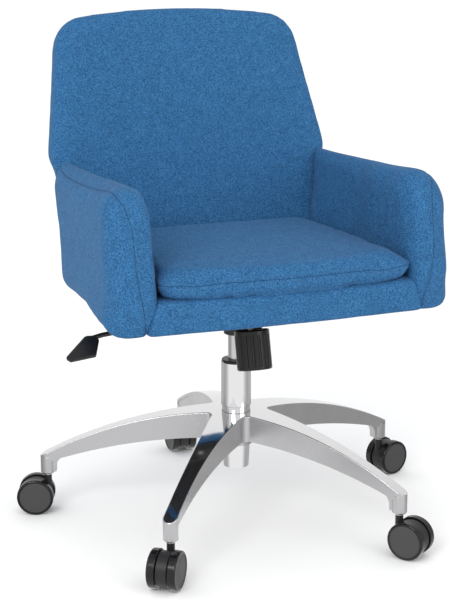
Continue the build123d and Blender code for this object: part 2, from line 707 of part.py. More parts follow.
with BuildPart() as lever_paddle:
    with BuildSketch(paddle_plane.offset(-PADDLE_THICKNESS / 2)) as blade:
        with BuildLine():
            Polyline((-7, 4), (6, 4), (13, -4), (7, -32), (-34, -40), (-42, -34), (-11, 2), close=True)
        make_face()
        fillet(blade.vertices(), 3)
    extrude(amount=PADDLE_THICKNESS)
    chamfer(lever_paddle.faces().sort_by(Axis(paddle_plane.origin, paddle_plane.z_dir))[-1].edges(), 2.2)
    with BuildLine(Plane.XZ) as rod_end:
        FilletPolyline(*LEVER_ROUTE, radius=LEVER_BENDS)
    with BuildSketch(Plane(origin=rod_end.line @ 0, z_dir=rod_end.line % 0)):
        Circle(LEVER_RADIUS)
    sweep(path=rod_end.line, mode=Mode.SUBTRACT)

write(lever_paddle, "lever_paddle")


# =========================================================================
# Seat frame
# =========================================================================
plate_top_z = PLATE_BOTTOM_Z + PLATE_THICKNESS
board_bottom_z = plate_top_z + COVER_THICKNESS
board_top_z = board_bottom_z + BOARD_THICKNESS
bolt_middle_y = (BOLT_FRONT_Y + BOLT_REAR_Y) / 2


def bolt_places():
    return GridLocations(BOLT_SPACING_X, BOLT_REAR_Y - BOLT_FRONT_Y, 2, 2)


with BuildPart() as seat_plate:
    with BuildSketch(Plane.XY.offset(PLATE_BOTTOM_Z)):
        with Locations((0, (PLATE_FRONT_Y + PLATE_REAR_Y) / 2)):
            RectangleRounded(2 * PLATE_HALF_WIDTH, PLATE_REAR_Y - PLATE_FRONT_Y, 12)
        with Locations((0, -18)):
            Rectangle(2 * EAR_INNER, 128, mode=Mode.SUBTRACT)
        with Locations((0, bolt_middle_y)):
            with bolt_places():
                SlotOverall(12, 6.6, mode=Mode.SUBTRACT)
    extrude(amount=PLATE_THICKNESS)
    # ears on the pivot pin, joined by a dropped strap
    with BuildSketch(Plane.YZ.offset(EAR_INNER)):
        with BuildLine():
            Polyline(
                (STRAP_FRONT_Y, plate_top_z), (EAR_REAR_Y, plate_top_z), (EAR_REAR_Y, RECLINE_PIVOT[2] - 8),
                (STRAP_REAR_Y - 6, RECLINE_PIVOT[2] - 8), (STRAP_FRONT_Y, STRAP_Z - 4), close=True,
            )
        make_face()
    extrude(amount=SHEET)
    mirror(about=Plane.YZ)
    with BuildSketch(Plane.XY.offset(STRAP_Z)):
        with Locations((0, (STRAP_FRONT_Y + STRAP_REAR_Y) / 2)):
            Rectangle(2 * EAR_INNER + SHEET, STRAP_REAR_Y - STRAP_FRONT_Y)
        with Locations((0, (STRAP_FRONT_Y + STRAP_REAR_Y) / 2)):
            Rectangle(13, 20, mode=Mode.SUBTRACT)
    extrude(amount=SHEET)
    with BuildSketch(Plane.YZ):
        with Locations(RECLINE_PIVOT[1:]):
            Circle(PIVOT_PIN_RADIUS + RUNNING)
    extrude(amount=2 * HOUSING_HALF_WIDTH, both=True, mode=Mode.SUBTRACT)

write(seat_plate, "seat_plate")

with BuildPart() as plate_bolts:
    with BuildSketch(Plane.XY.offset(PLATE_BOTTOM_Z - 4)):
        with Locations((0, bolt_middle_y)):
            with bolt_places():
                RegularPolygon(5.8, 6)
    extrude(amount=4)
    with BuildSketch(Plane.XY.offset(PLATE_BOTTOM_Z)):
        with Locations((0, bolt_middle_y)):
            with bolt_places():
                Circle(3)
    extrude(amount=board_top_z - PLATE_BOTTOM_Z)

write(plate_bolts, "plate_bolts")

with BuildPart() as tee_nuts:
    with BuildSketch(Plane.XY.offset(board_bottom_z + 1)):
        with Locations((0, bolt_middle_y)):
            with bolt_places():
                Circle(4.2)
                Circle(3, mode=Mode.SUBTRACT)
    extrude(amount=BOARD_THICKNESS - 1)
    with BuildSketch(Plane.XY.offset(board_top_z)):
        with Locations((0, bolt_middle_y)):
            with bolt_places():
                Circle(9)
                Circle(3, mode=Mode.SUBTRACT)
    extrude(amount=TEE_FLANGE)

write(tee_nuts, "tee_nuts")

with BuildPart() as under_cover:
    with BuildSketch(Plane.XY.offset(plate_top_z)):
        with Locations((0, SEAT_FRAME_MIDDLE_Y)):
            RectangleRounded(2 * BOARD_HALF_WIDTH, SEAT_FRAME_LENGTH, 20)
        with Locations((0, bolt_middle_y)):
            with bolt_places():
                Circle(3.5, mode=Mode.SUBTRACT)
    extrude(amount=COVER_THICKNESS)

write(under_cover, "under_cover")

with BuildPart() as seat_board:
    with BuildSketch(Plane.XY.offset(board_bottom_z)):
        with Locations((0, SEAT_FRAME_MIDDLE_Y)):
            RectangleRounded(2 * BOARD_HALF_WIDTH, SEAT_FRAME_LENGTH, 20)
        with Locations((0, bolt_middle_y)):
            with bolt_places():
                Circle(4.2, mode=Mode.SUBTRACT)
    extrude(amount=BOARD_THICKNESS)

write(seat_board, "seat_board")


# =========================================================================
# Upholstery, as plain closed solids
# =========================================================================
lean = radians(BACK_LEAN)
back_plane = Plane(origin=(0, NOTCH[1], NOTCH[2]), x_dir=(1, 0, 0), z_dir=(0, -cos(lean), sin(lean)))
slope_plane = Plane(origin=(0, NOTCH[1], NOTCH[2]), x_dir=(1, 0, 0), z_dir=(0, sin(lean), cos(lean)))
hollow_radius = (NOTCH[0]**2 + BACK_HOLLOW**2) / (2 * BACK_HOLLOW)


def back_outline(shrink):
    """The back seen square on: wide at the arms, narrower and rounded at the top."""
    with BuildSketch(back_plane, mode=Mode.PRIVATE) as outline:
        with BuildLine():
            top_left = (-BACK_TOP_HALF + shrink, BACK_UP - BACK_TOP_BOW - shrink)
            top_right = (BACK_TOP_HALF - shrink, BACK_UP - BACK_TOP_BOW - shrink)
            ThreePointArc(top_left, (0, BACK_UP - shrink), top_right)
            Polyline(
                top_right, (NOTCH[0] - shrink, 20), (NOTCH[0] - shrink, 0),
                (BACK_FOOT_HALF - shrink, shrink - BACK_DOWN),
                (shrink - BACK_FOOT_HALF, shrink - BACK_DOWN),
                (shrink - NOTCH[0], 0), (shrink - NOTCH[0], 20), top_left,
            )
        make_face()
        fillet(outline.vertices().group_by(Axis.Y)[-1], BACK_TOP_ROUNDING - shrink)
        fillet(outline.vertices().group_by(Axis.Y)[0], 20)
    return outline.sketch


def bowed_slab(front, rear):
    """Slab bowed about the sitter, between two depths behind the back's front edge."""
    with BuildPart() as slab:
        with BuildSketch(slope_plane.offset(-2 * BACK_DOWN)):
            with Locations((0, -hollow_radius)):
                Circle(hollow_radius + BACK_HOLLOW + rear)
                Circle(hollow_radius + BACK_HOLLOW + front, mode=Mode.SUBTRACT)
            with Locations((0, BACK_HOLLOW - 50)):
                Rectangle(3 * NOTCH[0], 260, mode=Mode.INTERSECT)
        extrude(amount=4 * BACK_DOWN)
    return slab.part


back_slab = bowed_slab(0, BACK_THICKNESS)
board_slab = bowed_slab(BACK_THICKNESS - BOARD_THICKNESS - 8, BACK_THICKNESS - 8)

with BuildPart() as back_board:
    extrude(back_outline(35), amount=3 * BACK_THICKNESS, both=True)
    add(board_slab, mode=Mode.INTERSECT)

write(back_board, "back_board")

# the board's pocket is open at the foot of the back
with BuildPart() as board_slot:
    extrude(back_outline(35), amount=3 * BACK_THICKNESS, both=True)
    with BuildSketch(back_plane):
        with Locations((0, -BACK_DOWN)):
            Rectangle(2 * (BACK_FOOT_HALF - 36), 160)
    extrude(amount=3 * BACK_THICKNESS, both=True)
    add(board_slab, mode=Mode.INTERSECT)

with BuildPart() as back_upholstery:
    extrude(back_outline(0), amount=3 * BACK_THICKNESS, both=True)
    add(back_slab, mode=Mode.INTERSECT)
    rear_faces = back_upholstery.faces().sort_by(Axis(back_plane.origin, back_plane.z_dir))
    fillet(rear_faces[0].edges(), BACK_REAR_ROUNDING)
    fillet(back_upholstery.edges().filter_by(lambda edge: edge.length > 60), BACK_ROUNDING)
    add(board_slot.part, mode=Mode.SUBTRACT)

write(back_upholstery, "back_upholstery")


def back_face_y(height, depth=0):
    """Where the back's front face, at its side edges, is at a height."""
    return NOTCH[1] - (NOTCH[2] - height) * tan(lean) + depth / cos(lean)


def seat_plan(half_width, front_y, bow, rear_y):
    """The seat between the arms: parallel sides that close in towards the back."""
    with BuildSketch(mode=Mode.PRIVATE) as plan:
        with BuildLine():
            front = (half_width, front_y)
            bend = (half_width, ARM_BEND_Y)
            rear = (half_width - ARM_CLOSING * (rear_y - ARM_BEND_Y), rear_y)
            side = Polyline(front, bend, rear)
            mirror(side, about=Plane.YZ)
            Line(rear, (-rear[0], rear_y))
            ThreePointArc(front, (0, front_y - bow), (-half_width, front_y))
        make_face()
    return plan.sketch


def mitre_wedge(gap, foot_z, front_y, rear_y):
    """The left end of the rail, which widens downwards beyond its upper half width."""
    spread = (RAIL_FOOT_HALF - RAIL_HALF_WIDTH) / (RAIL_TOP_Z - plate_top_z)
    foot_x = RAIL_HALF_WIDTH + gap + spread * (RAIL_TOP_Z - foot_z)
    with BuildPart() as wedge:
        with BuildSketch(Plane.XZ.offset(-rear_y)):
            with BuildLine():
                Polyline(
                    (10 - RAIL_HALF_WIDTH, RAIL_TOP_Z), (-RAIL_HALF_WIDTH - gap, RAIL_TOP_Z),
                    (-foot_x, foot_z), (10 - RAIL_HALF_WIDTH, foot_z), close=True,
                )
            make_face()
        extrude(amount=rear_y - front_y)
    return wedge.part


with BuildPart() as arm_board_left:
    with BuildSketch(Plane.YZ.offset(-ARM_BOARD_INNER)):
        with Locations((ARM_BOARD_FRONT_Y, ARM_BOARD_TOP_Z)):
            Rectangle(ARM_BOARD_LENGTH, ARM_BOARD_TOP_Z - ARM_BOARD_FOOT_Z, align=(Align.MIN, Align.MAX))
    extrude(amount=-ARM_BOARD_THICKNESS)

write(arm_board_left, "arm_board_left")

with BuildPart() as arm_board_right:
    add(arm_board_left.part)
    mirror(about=Plane.YZ, mode=Mode.REPLACE)

write(arm_board_right, "arm_board_right")

with BuildPart() as arm_left:
    with BuildSketch(Plane.YZ) as side:
        with BuildLine():
            Polyline(
                (ARM_FOOT_Y, ARM_FOOT_Z), (ARM_NOSE_Y, ARM_NOSE_Z), (ARM_BROW_Y, ARM_TOP_Z),
                (back_face_y(NOTCH[2]) - LOOSE, NOTCH[2]), (back_face_y(ARM_FOOT_Z) - LOOSE, ARM_FOOT_Z),
                close=True,
            )
        make_face()
        fillet(side.vertices().sort_by_distance((ARM_BROW_Y, ARM_TOP_Z))[0], ARM_BROW_ROUNDING)
        fillet(side.vertices().sort_by_distance((ARM_NOSE_Y, ARM_NOSE_Z))[0], ARM_NOSE_ROUNDING)
        fillet(side.vertices().sort_by_distance((ARM_FOOT_Y, ARM_FOOT_Z))[0], ARM_FOOT_ROUNDING)
    extrude(amount=2 * ARM_FRONT_OUTER, both=True)
    with BuildSketch(Plane.XY):
        with BuildLine():
            closed_y = ARM_BEND_Y + 220
            Polyline(
                (-RAIL_HALF_WIDTH - LOOSE, -300), (-RAIL_HALF_WIDTH - LOOSE, ARM_BEND_Y),
                (220 * ARM_CLOSING - RAIL_HALF_WIDTH - LOOSE, closed_y), (-ARM_REAR_OUTER, closed_y),
                (-ARM_FRONT_OUTER, ARM_NOSE_Y), (-ARM_FRONT_OUTER, -300), close=True,
            )
        make_face()
    extrude(amount=2 * ARM_TOP_Z, mode=Mode.INTERSECT)
    outer_edges = arm_left.faces().sort_by(Axis.X)[0].edges()
    fillet(outer_edges.filter_by(lambda rim: rim.center().Y < 150), ARM_OUTER_ROUNDING)
    inner_edges = arm_left.edges().filter_by(lambda rim: rim.center().X > -RAIL_HALF_WIDTH - 1)
    inner_edges = inner_edges.filter_by(lambda rim: rim.length > 20 and rim.center().Y < 150)
    fillet(inner_edges.filter_by(lambda rim: rim.center().Z > ARM_NOSE_Z), ARM_ROUNDING)
    add(mitre_wedge(LOOSE, ARM_FOOT_Z - 10, 2 * ARM_NOSE_Y, ARM_BEND_Y + LOOSE), mode=Mode.SUBTRACT)
    with BuildSketch(Plane.YZ.offset(-ARM_BOARD_INNER)):
        with Locations((ARM_BOARD_FRONT_Y, ARM_BOARD_TOP_Z)):
            Rectangle(ARM_BOARD_LENGTH, ARM_BOARD_TOP_Z - ARM_FOOT_Z + 10, align=(Align.MIN, Align.MAX))
    extrude(amount=-ARM_BOARD_THICKNESS, mode=Mode.SUBTRACT)

write(arm_left, "arm_left")

with BuildPart() as arm_right:
    add(arm_left.part)
    mirror(about=Plane.YZ, mode=Mode.REPLACE)

write(arm_right, "arm_right")

with BuildPart() as seat_rail:
    rail_rear_y = back_face_y(plate_top_z) - LOOSE
    extrude(seat_plan(RAIL_HALF_WIDTH, RAIL_FRONT_Y, RAIL_BOW, rail_rear_y), amount=RAIL_TOP_Z)
    with BuildSketch(Plane.XY):
        Rectangle(3 * RAIL_HALF_WIDTH, 3 * RAIL_HALF_WIDTH)
    extrude(amount=plate_top_z, mode=Mode.SUBTRACT)
    add(mitre_wedge(0, plate_top_z, RAIL_FRONT_Y, ARM_BEND_Y))
    add(mitre_wedge(0, plate_top_z, RAIL_FRONT_Y, ARM_BEND_Y).mirror(Plane.YZ))
    front_edges = seat_rail.edges().filter_by(lambda edge: edge.center().Y < RAIL_FRONT_Y)
    fillet(front_edges.filter_by(GeomType.CIRCLE), 8)
    with BuildSketch(Plane.XY.offset(plate_top_z)):
        with Locations((0, SEAT_FRAME_MIDDLE_Y)):
            RectangleRounded(2 * BOARD_HALF_WIDTH, SEAT_FRAME_LENGTH, 20)
    extrude(amount=COVER_THICKNESS + BOARD_THICKNESS + TEE_FLANGE, mode=Mode.SUBTRACT)

write(seat_rail, "seat_rail")

with BuildPart() as seat_cushion:
    with BuildSketch(Plane.XY.offset(RAIL_TOP_Z + LOOSE)) as cushion_plan:
        cushion_rear_y = back_face_y(RAIL_TOP_Z) - 2
        add(seat_plan(RAIL_HALF_WIDTH - LOOSE, CUSHION_FRONT_Y, CUSHION_BOW, cushion_rear_y))
        fillet(cushion_plan.vertices().group_by(Axis.Y)[0], 25)
    extrude(amount=CUSHION_TOP_Z - RAIL_TOP_Z - LOOSE)
    fillet(seat_cushion.edges().group_by(Axis.Z)[-1], 14)
    fillet(seat_cushion.edges().group_by(Axis.Z)[0], 8)

write(seat_cushion, "seat_cushion")
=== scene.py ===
import math

import bmesh
import bpy
import numpy as np
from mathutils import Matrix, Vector
from mathutils.bvhtree import BVHTree
from mathutils.kdtree import KDTree


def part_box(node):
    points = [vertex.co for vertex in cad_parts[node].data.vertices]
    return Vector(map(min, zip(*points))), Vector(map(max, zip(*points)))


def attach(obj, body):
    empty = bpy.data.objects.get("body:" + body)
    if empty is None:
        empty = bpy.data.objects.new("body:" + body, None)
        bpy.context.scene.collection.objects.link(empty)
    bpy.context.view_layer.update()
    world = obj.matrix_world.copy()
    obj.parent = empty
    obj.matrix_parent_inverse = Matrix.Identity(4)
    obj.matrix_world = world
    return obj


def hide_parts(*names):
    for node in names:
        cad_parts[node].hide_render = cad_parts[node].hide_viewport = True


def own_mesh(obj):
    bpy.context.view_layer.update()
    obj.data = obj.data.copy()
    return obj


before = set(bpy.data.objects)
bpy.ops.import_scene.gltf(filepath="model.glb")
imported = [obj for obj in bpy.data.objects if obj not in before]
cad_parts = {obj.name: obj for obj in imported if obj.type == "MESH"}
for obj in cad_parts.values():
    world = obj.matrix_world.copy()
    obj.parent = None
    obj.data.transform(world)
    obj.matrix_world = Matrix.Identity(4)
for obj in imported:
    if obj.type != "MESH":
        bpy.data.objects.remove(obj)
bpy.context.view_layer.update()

# A swivel office chair: the padded shell, cushion, seams and stitches are made
# here, and the metal and plastic pieces keep their CAD shape and get finishes.
# Metres; the sitter faces -Y.

# --- camera --------------------------------------------------------------
bpy.ops.object.camera_add(
    location=(-0.9635, -2.3591, 0.9845),
    rotation=(math.radians(76.499), 0, math.radians(-22.136)),
)
camera = bpy.context.object
camera.data.lens = 94.31
bpy.context.scene.camera = camera


# =========================================================================
# Small helpers
# =========================================================================
def deselect_all():
    if bpy.context.object and bpy.context.object.mode != "OBJECT":
        bpy.ops.object.mode_set(mode="OBJECT")
    bpy.ops.object.select_all(action="DESELECT")


def choose(piece):
    """Makes one object the only one selected, and the active one."""
    deselect_all()
    piece.select_set(True)
    bpy.context.view_layer.objects.active = piece


def apply_modifier(piece, kind, **values):
    modifier = piece.modifiers.new(kind.lower(), kind)
    for key, value in values.items():
        setattr(modifier, key, value)
    choose(piece)
    bpy.ops.object.modifier_apply(modifier=modifier.name)


def get_points(piece):
    points = np.empty(len(piece.data.vertices) * 3)
    piece.data.vertices.foreach_get("co", points)
    return points.reshape(-1, 3)


def set_points(piece, points):
    piece.data.vertices.foreach_set("co", points.ravel())
    piece.data.update()


def get_normals(piece):
    normals = np.empty(len(piece.data.vertices) * 3)
    piece.data.vertices.foreach_get("normal", normals)
    return normals.reshape(-1, 3)


def surface_of(piece):
    mesh = bmesh.new()
    mesh.from_mesh(piece.data)
    tree = BVHTree.FromBMesh(mesh)
    mesh.free()
    return tree


def twin_of(nodes, name):
    """One new object from copies of CAD nodes, with their doubled points merged."""
    deselect_all()
    for node in nodes:
        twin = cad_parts[node].copy()
        twin.data = twin.data.copy()
        twin.parent = None
        for key in list(twin.keys()):
            del twin[key]
        bpy.context.scene.collection.objects.link(twin)
        twin.select_set(True)
        bpy.context.view_layer.objects.active = twin
    bpy.ops.object.join()
    piece = bpy.context.object
    piece.name = name
    piece.data.name = name
    piece.data.materials.clear()
    bpy.ops.object.mode_set(mode="EDIT")
    bpy.ops.mesh.select_all(action="SELECT")
    bpy.ops.mesh.remove_doubles(threshold=0.00002)
    bpy.ops.object.mode_set(mode="OBJECT")
    return piece


# =========================================================================
# Padded pieces
# =========================================================================
SHELL_VOXEL = 0.005
CLOTH_PRESSURE = 4
CLOTH_STEPS = 20
ARM_FRONT_OUTER = 0.285      # half width over the arms at their noses
ARM_NOSE_Y = -0.232
ARM_OUTER_CLOSING = 0.067    # how fast the outer faces close in towards the rear
ARM_INNER = 0.2125
ARM_BEND_Y = -0.02           # behind this the inner faces close in
ARM_INNER_CLOSING = 0.11
ARM_LEAN = 0.032             # outward, at the notch
ARM_CROWN = 0.62             # where the top's crown line is, from the outer face to the inner
CUSHION_SEAM_Z = 0.460
LINING_HALF = 0.262          # the black lining is stapled this far out under the arms
LINING_FRONT_Y = -0.212
LINING_REAR_Y = 0.125
LINING_TOP_Z = 0.390
SEAM_STEP = 0.001            # between the points of a seam's path
SEAM_REACH = 0.008           # how far from a seam its marks are kept
SEAM_DEPTH = 0.0016
SEAM_WIDTH = 0.0028
STITCH_LENGTH = 0.0030
STITCH_STEP = 0.0044
THREAD_WIDTH = 0.00084
THREAD_HEIGHT = 0.00072
THREAD_LIFT = 0.00012        # the stitch's middle stands this far off the cloth
ROW_OFFSET = 0.0036          # each row of stitches from its seam


def ramp(values, start, end):
    """0 before start, 1 after end, and a smooth rise between them."""
    share = np.clip((values - start) / (end - start), 0, 1)
    return share * share * (3 - 2 * share)


def blow_up(piece, cap):
    """Fills the cover like a cushion by cloth simulation, each point moving no further than the cap."""
    before = get_points(piece)
    modifier = piece.modifiers.new("filling", "CLOTH")
    modifier.settings.quality = 5
    modifier.settings.use_pressure = True
    modifier.settings.uniform_pressure_force = CLOTH_PRESSURE
    modifier.settings.effector_weights.gravity = 0
    for step in range(1, CLOTH_STEPS + 1):
        bpy.context.scene.frame_set(step)
    choose(piece)
    bpy.ops.object.modifier_apply(modifier=modifier.name)
    bpy.context.scene.frame_set(1)
    move = get_points(piece) - before
    length = np.linalg.norm(move, axis=1, keepdims=True)
    move *= np.minimum(1, cap / np.maximum(length, 1e-9))
    set_points(piece, before + move)


def upholster(name, nodes, voxel, shrink, cap, shape, soften=6):
    """A padded piece in the place of its CAD solid and the board inside it."""
    piece = twin_of(nodes, name)
    piece.data.remesh_voxel_size = voxel
    choose(piece)
    bpy.ops.object.voxel_remesh()
    apply_modifier(piece, "SMOOTH", factor=0.5, iterations=soften)
    set_points(piece, shape(get_points(piece)))
    set_points(piece, get_points(piece) - get_normals(piece) * shrink)
    blow_up(piece, cap)
    apply_modifier(piece, "SMOOTH", factor=0.5, iterations=8)
    apply_modifier(piece, "SUBSURF", levels=1, render_levels=1)
    bpy.ops.object.shade_smooth()
    return piece


def shape_arm(points):
    """The arm's top is crowned across, and its inner face leans out towards the notch."""
    x, y, z = np.abs(points[:, 0]), points[:, 1], points[:, 2]
    side = np.sign(points[:, 0])
    outer = ARM_FRONT_OUTER - ARM_OUTER_CLOSING * np.clip(y - ARM_NOSE_Y, 0, None)
    inner = ARM_INNER - ARM_INNER_CLOSING * np.clip(y - ARM_BEND_Y, 0, None)
    share = np.clip((outer - x) / (outer - inner), 0, 1)
    lean = share * ARM_LEAN * np.clip((y + 0.06) / 0.25, 0, 1) * ramp(z, 0.45, 0.60)
    beyond_crown = share > ARM_CROWN
    from_crown = share - ARM_CROWN
    across = np.where(beyond_crown, from_crown / (1 - ARM_CROWN), -from_crown / ARM_CROWN)
    drop = np.where(beyond_crown, 0.007, 0.006) * across**2 * ramp(z, 0.545, 0.59)
    outward = 1 - np.clip(share / 0.4, 0, 1)
    corner = outward * ramp(-z, -0.44, -0.39) * ramp(-y, 0.0, 0.15)
    shaped = points.copy()
    joint = 0.004 * ramp(-z, -0.437, -0.425) * ramp(-y, 0.05, 0.15) * ramp(share, 0.75, 0.95)
    shaped[:, 0] = side * (x + lean - joint + 0.003 * outward + 0.007 * corner)
    shaped[:, 2] = z - drop + 0.009 * ramp(z, 0.55, 0.60) - 0.006 * corner
    return shaped


def shape_back(points):
    """The cover's fullness at the sides and along the top, which the remesh rounds away."""
    shaped = points.copy()
    shaped[:, 0] *= 1.008 + 0.034 * ramp(points[:, 2], 0.565, 0.60)
    shaped[:, 1] += 0.003 * ramp(points[:, 2], 0.72, 0.83)
    shaped[:, 2] += 0.009 * ramp(points[:, 2], 0.72, 0.83)
    return shaped


def shape_cushion(points):
    """The cushion's top rises to a crown, and its front corners are drawn out along the seam."""
    x, y, z = np.abs(points[:, 0]), points[:, 1], points[:, 2]
    side = np.sign(points[:, 0])
    corner = ramp(x, 0.15, 0.212) * ramp(-y, 0.15, 0.225)
    level = np.exp(-((z - CUSHION_SEAM_Z) / 0.011) ** 2)
    pinch = 0.010 * corner * (level - 0.35)
    edge = np.maximum(ramp(x, 0.12, 0.212), ramp(-y, 0.12, 0.24))
    shaped = points.copy()
    shaped[:, 0] += side * pinch
    shaped[:, 1] -= 0.6 * pinch
    shaped[:, 2] -= edge**2 * 0.006 * ramp(z, 0.462, 0.475)
    return shaped


def shape_rail(points):
    """The rail's ends run on into the arms, so that the mitre between them closes."""
    shaped = points.copy()
    reach = ramp(np.abs(points[:, 0]), 0.185, 0.210)
    shaped[:, 0] += np.sign(points[:, 0]) * 0.005 * reach
    return shaped


def clear_lining(piece):
    """Lifts the rail's underside off the lining, which stays the lowest thing there."""
    low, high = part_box("under_cover")
    points = get_points(piece)
    x, y, z = points.T
    inside = (x > low[0]) & (x < high[0]) & (y > low[1]) & (y < high[1])
    under = inside & (z < high[2] + 0.004)
    points[under, 2] = high[2] + 0.0015
    set_points(piece, points)


back = upholster("back_padding", ["back_upholstery", "back_board"], 0.006, 0.002, 0.004, shape_back)
arm_left = upholster(
    "arm_padding_left", ["arm_left", "arm_board_left"], SHELL_VOXEL, 0.002, 0.004, shape_arm
)
arm_right = upholster(
    "arm_padding_right", ["arm_right", "arm_board_right"], SHELL_VOXEL, 0.002, 0.004, shape_arm
)
rail = upholster(
    "seat_rail_padding", ["seat_rail", "seat_board"], SHELL_VOXEL, 0.001, 0.002, shape_rail, soften=3
)
clear_lining(rail)
cushion = upholster("seat_cushion_padding", ["seat_cushion"], 0.004, 0.002, 0.010, shape_cushion)

for piece, nodes, fill in (
    (back, ["back_upholstery"], 0.9),
    (arm_left, ["arm_left"], 0.9),
    (arm_right, ["arm_right"], 0.9),
    (rail, ["seat_rail"], 0.95),
    (cushion, ["seat_cushion"], 0.75),
):
    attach(piece, "seat")
    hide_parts(*nodes)


# =========================================================================
# Seams and stitches
# =========================================================================
def even_line(corners):
    """Points at even steps along a path through its corners."""
    corners = np.array(corners)
    lengths = np.r_[0, np.cumsum(np.linalg.norm(np.diff(corners, axis=0), axis=1))]
    along = np.arange(0, lengths[-1], SEAM_STEP)
    return np.stack([np.interp(along, lengths, corners[:, k]) for k in range(3)], axis=1)


def relax(line, rounds):
    """Rounds the path's corners off; its ends stay."""
    line = line.copy()
    for _ in range(rounds):
        line[1:-1] = 0.25 * line[:-2] + 0.5 * line[1:-1] + 0.25 * line[2:]
    return line


def laid_on(piece, corners):
    """The path on the piece's surface, with its direction and the surface's normal at each point."""
    tree = surface_of(piece)
    line = relax(even_line(corners), 120)
    for _ in range(2):
        line = np.array([tree.find_nearest(Vector(point))[0] for point in line])
        line = relax(line, 12)
    normals = np.array([tree.find_nearest(Vector(point))[1] for point in line])
    for _ in range(12):
        normals[1:-1] = normals[:-2] + normals[1:-1] + normals[2:]
        normals /= np.linalg.norm(normals, axis=1, keepdims=True)
    heading = np.gradient(line, axis=0)
    heading /= np.maximum(np.linalg.norm(heading, axis=1, keepdims=True), 1e-9)
    return line, heading, normals


def sew(piece, path):
    """Draws the cover in along a path, and marks each point's distance from that seam."""
    line, heading, line_normals = laid_on(piece, path)
    across = np.cross(heading, line_normals)
    finder = KDTree(len(line))
    for index, point in enumerate(line):
        finder.insert(point, index)
    finder.balance()
    points, normals = get_points(piece), get_normals(piece)
    side = np.full(len(points), SEAM_REACH)
    near = np.zeros(len(points))
    for index, point in enumerate(points):
        _, at, distance = finder.find(point)
        if distance < SEAM_REACH:
            side[index] = np.dot(point - line[at], across[at])
            near[index] = 1 - distance / SEAM_REACH
    depth = SEAM_DEPTH * np.exp(-(side / SEAM_WIDTH) ** 2) * np.minimum(1, near * 2)
    set_points(piece, points - normals * depth[:, None])
    for label, values in (("seam_side", side * 1000), ("seam_near", near)):
        attribute = piece.data.attributes.new(label, "FLOAT", "POINT")
        attribute.data.foreach_set("value", values)
    return line, heading, line_normals


def model_stitch():
    """One stitch lying along X: a short round-ended thread."""
    deselect_all()
    bpy.ops.mesh.primitive_uv_sphere_add(
        segments=6, ring_count=5, radius=1, rotation=(0, math.pi / 2, 0)
    )
    stitch = bpy.context.object
    bpy.ops.object.mode_set(mode="EDIT")
    bpy.ops.mesh.select_all(action="SELECT")
    bpy.ops.transform.resize(value=(STITCH_LENGTH / 2, THREAD_WIDTH / 2, THREAD_HEIGHT / 2))
    bpy.ops.object.mode_set(mode="OBJECT")
    bpy.ops.object.transform_apply(location=True, rotation=True, scale=True)
    return stitch


def stitch_rows(name, piece, seam, offsets):
    """Rows of stitches beside the seam already drawn into a piece."""
    stitch = model_stitch()
    shape = get_points(stitch)
    faces = [tuple(face.vertices) for face in stitch.data.polygons]
    tree = surface_of(piece)
    line, heading, normals = seam
    points, polygons = [], []
    stride = int(round(STITCH_STEP / SEAM_STEP))
    for at in range(stride, len(line) - stride, stride):
        across = np.cross(heading[at], normals[at])
        for offset in offsets:
            spot, normal, _, _ = tree.find_nearest(Vector(line[at] + across * offset))
            normal = np.array(normal)
            along = heading[at] - normal * np.dot(heading[at], normal)
            along /= np.linalg.norm(along)
            axes = np.stack([along, np.cross(normal, along), normal])
            start = len(points)
            points.extend(shape @ axes + np.array(spot) + normal * THREAD_LIFT)
            polygons.extend(tuple(start + corner for corner in face) for face in faces)
    deselect_all()
    stitch.select_set(True)
    bpy.ops.object.delete()
    mesh = bpy.data.meshes.new(name)
    mesh.from_pydata([tuple(point) for point in points], [], polygons)
    rows = bpy.data.objects.new(name, mesh)
    bpy.context.scene.collection.objects.link(rows)
    choose(rows)
    bpy.ops.object.shade_smooth()
    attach(rows, "seat")
    return rows


def mirrored(path):
    return [(-x, y, z) for x, y, z in path]


ARM_SEAM = [
    (0.253, 0.178, 0.588), (0.2575, 0.104, 0.580), (0.260, 0.03, 0.581), (0.260, -0.05, 0.583),
    (0.259, -0.113, 0.586), (0.257, -0.154, 0.586), (0.255, -0.180, 0.576), (0.252, -0.196, 0.560),
    (0.2486, -0.206, 0.535), (0.2490, -0.219, 0.494), (0.2458, -0.228, 0.464), (0.238, -0.226, 0.425),
    (0.229, -0.221, 0.385),
]
CUSHION_SEAM = [
    (0.190, 0.10, 0.462), (0.213, -0.03, 0.461), (0.214, -0.15, 0.460), (0.219, -0.216, 0.460),
    (0.195, -0.232, 0.460), (0.10, -0.247, 0.460), (0, -0.252, 0.460), (-0.10, -0.247, 0.460),
    (-0.195, -0.232, 0.460), (-0.219, -0.216, 0.460), (-0.214, -0.15, 0.460), (-0.213, -0.03, 0.461),
    (-0.190, 0.10, 0.462),
]
BACK_SEAM_SIDE = [
    (0.213, 0.194, 0.430), (0.216, 0.216, 0.50), (0.213, 0.245, 0.588), (0.197, 0.281, 0.70),
    (0.188, 0.304, 0.770), (0.172, 0.313, 0.794), (0.140, 0.320, 0.804), (0.07, 0.325, 0.810),
]
BACK_SEAM = BACK_SEAM_SIDE + [(0, 0.327, 0.812)] + mirrored(BACK_SEAM_SIDE)[::-1]
both_sides = (-ROW_OFFSET, ROW_OFFSET)
stitches = [
    stitch_rows("back_stitches", back, sew(back, BACK_SEAM), (-ROW_OFFSET,)),
    stitch_rows("arm_stitches_right", arm_right, sew(arm_right, ARM_SEAM), both_sides),
    stitch_rows("arm_stitches_left", arm_left, sew(arm_left, mirrored(ARM_SEAM)), both_sides),
    stitch_rows("cushion_stitches", cushion, sew(cushion, CUSHION_SEAM), both_sides),
]


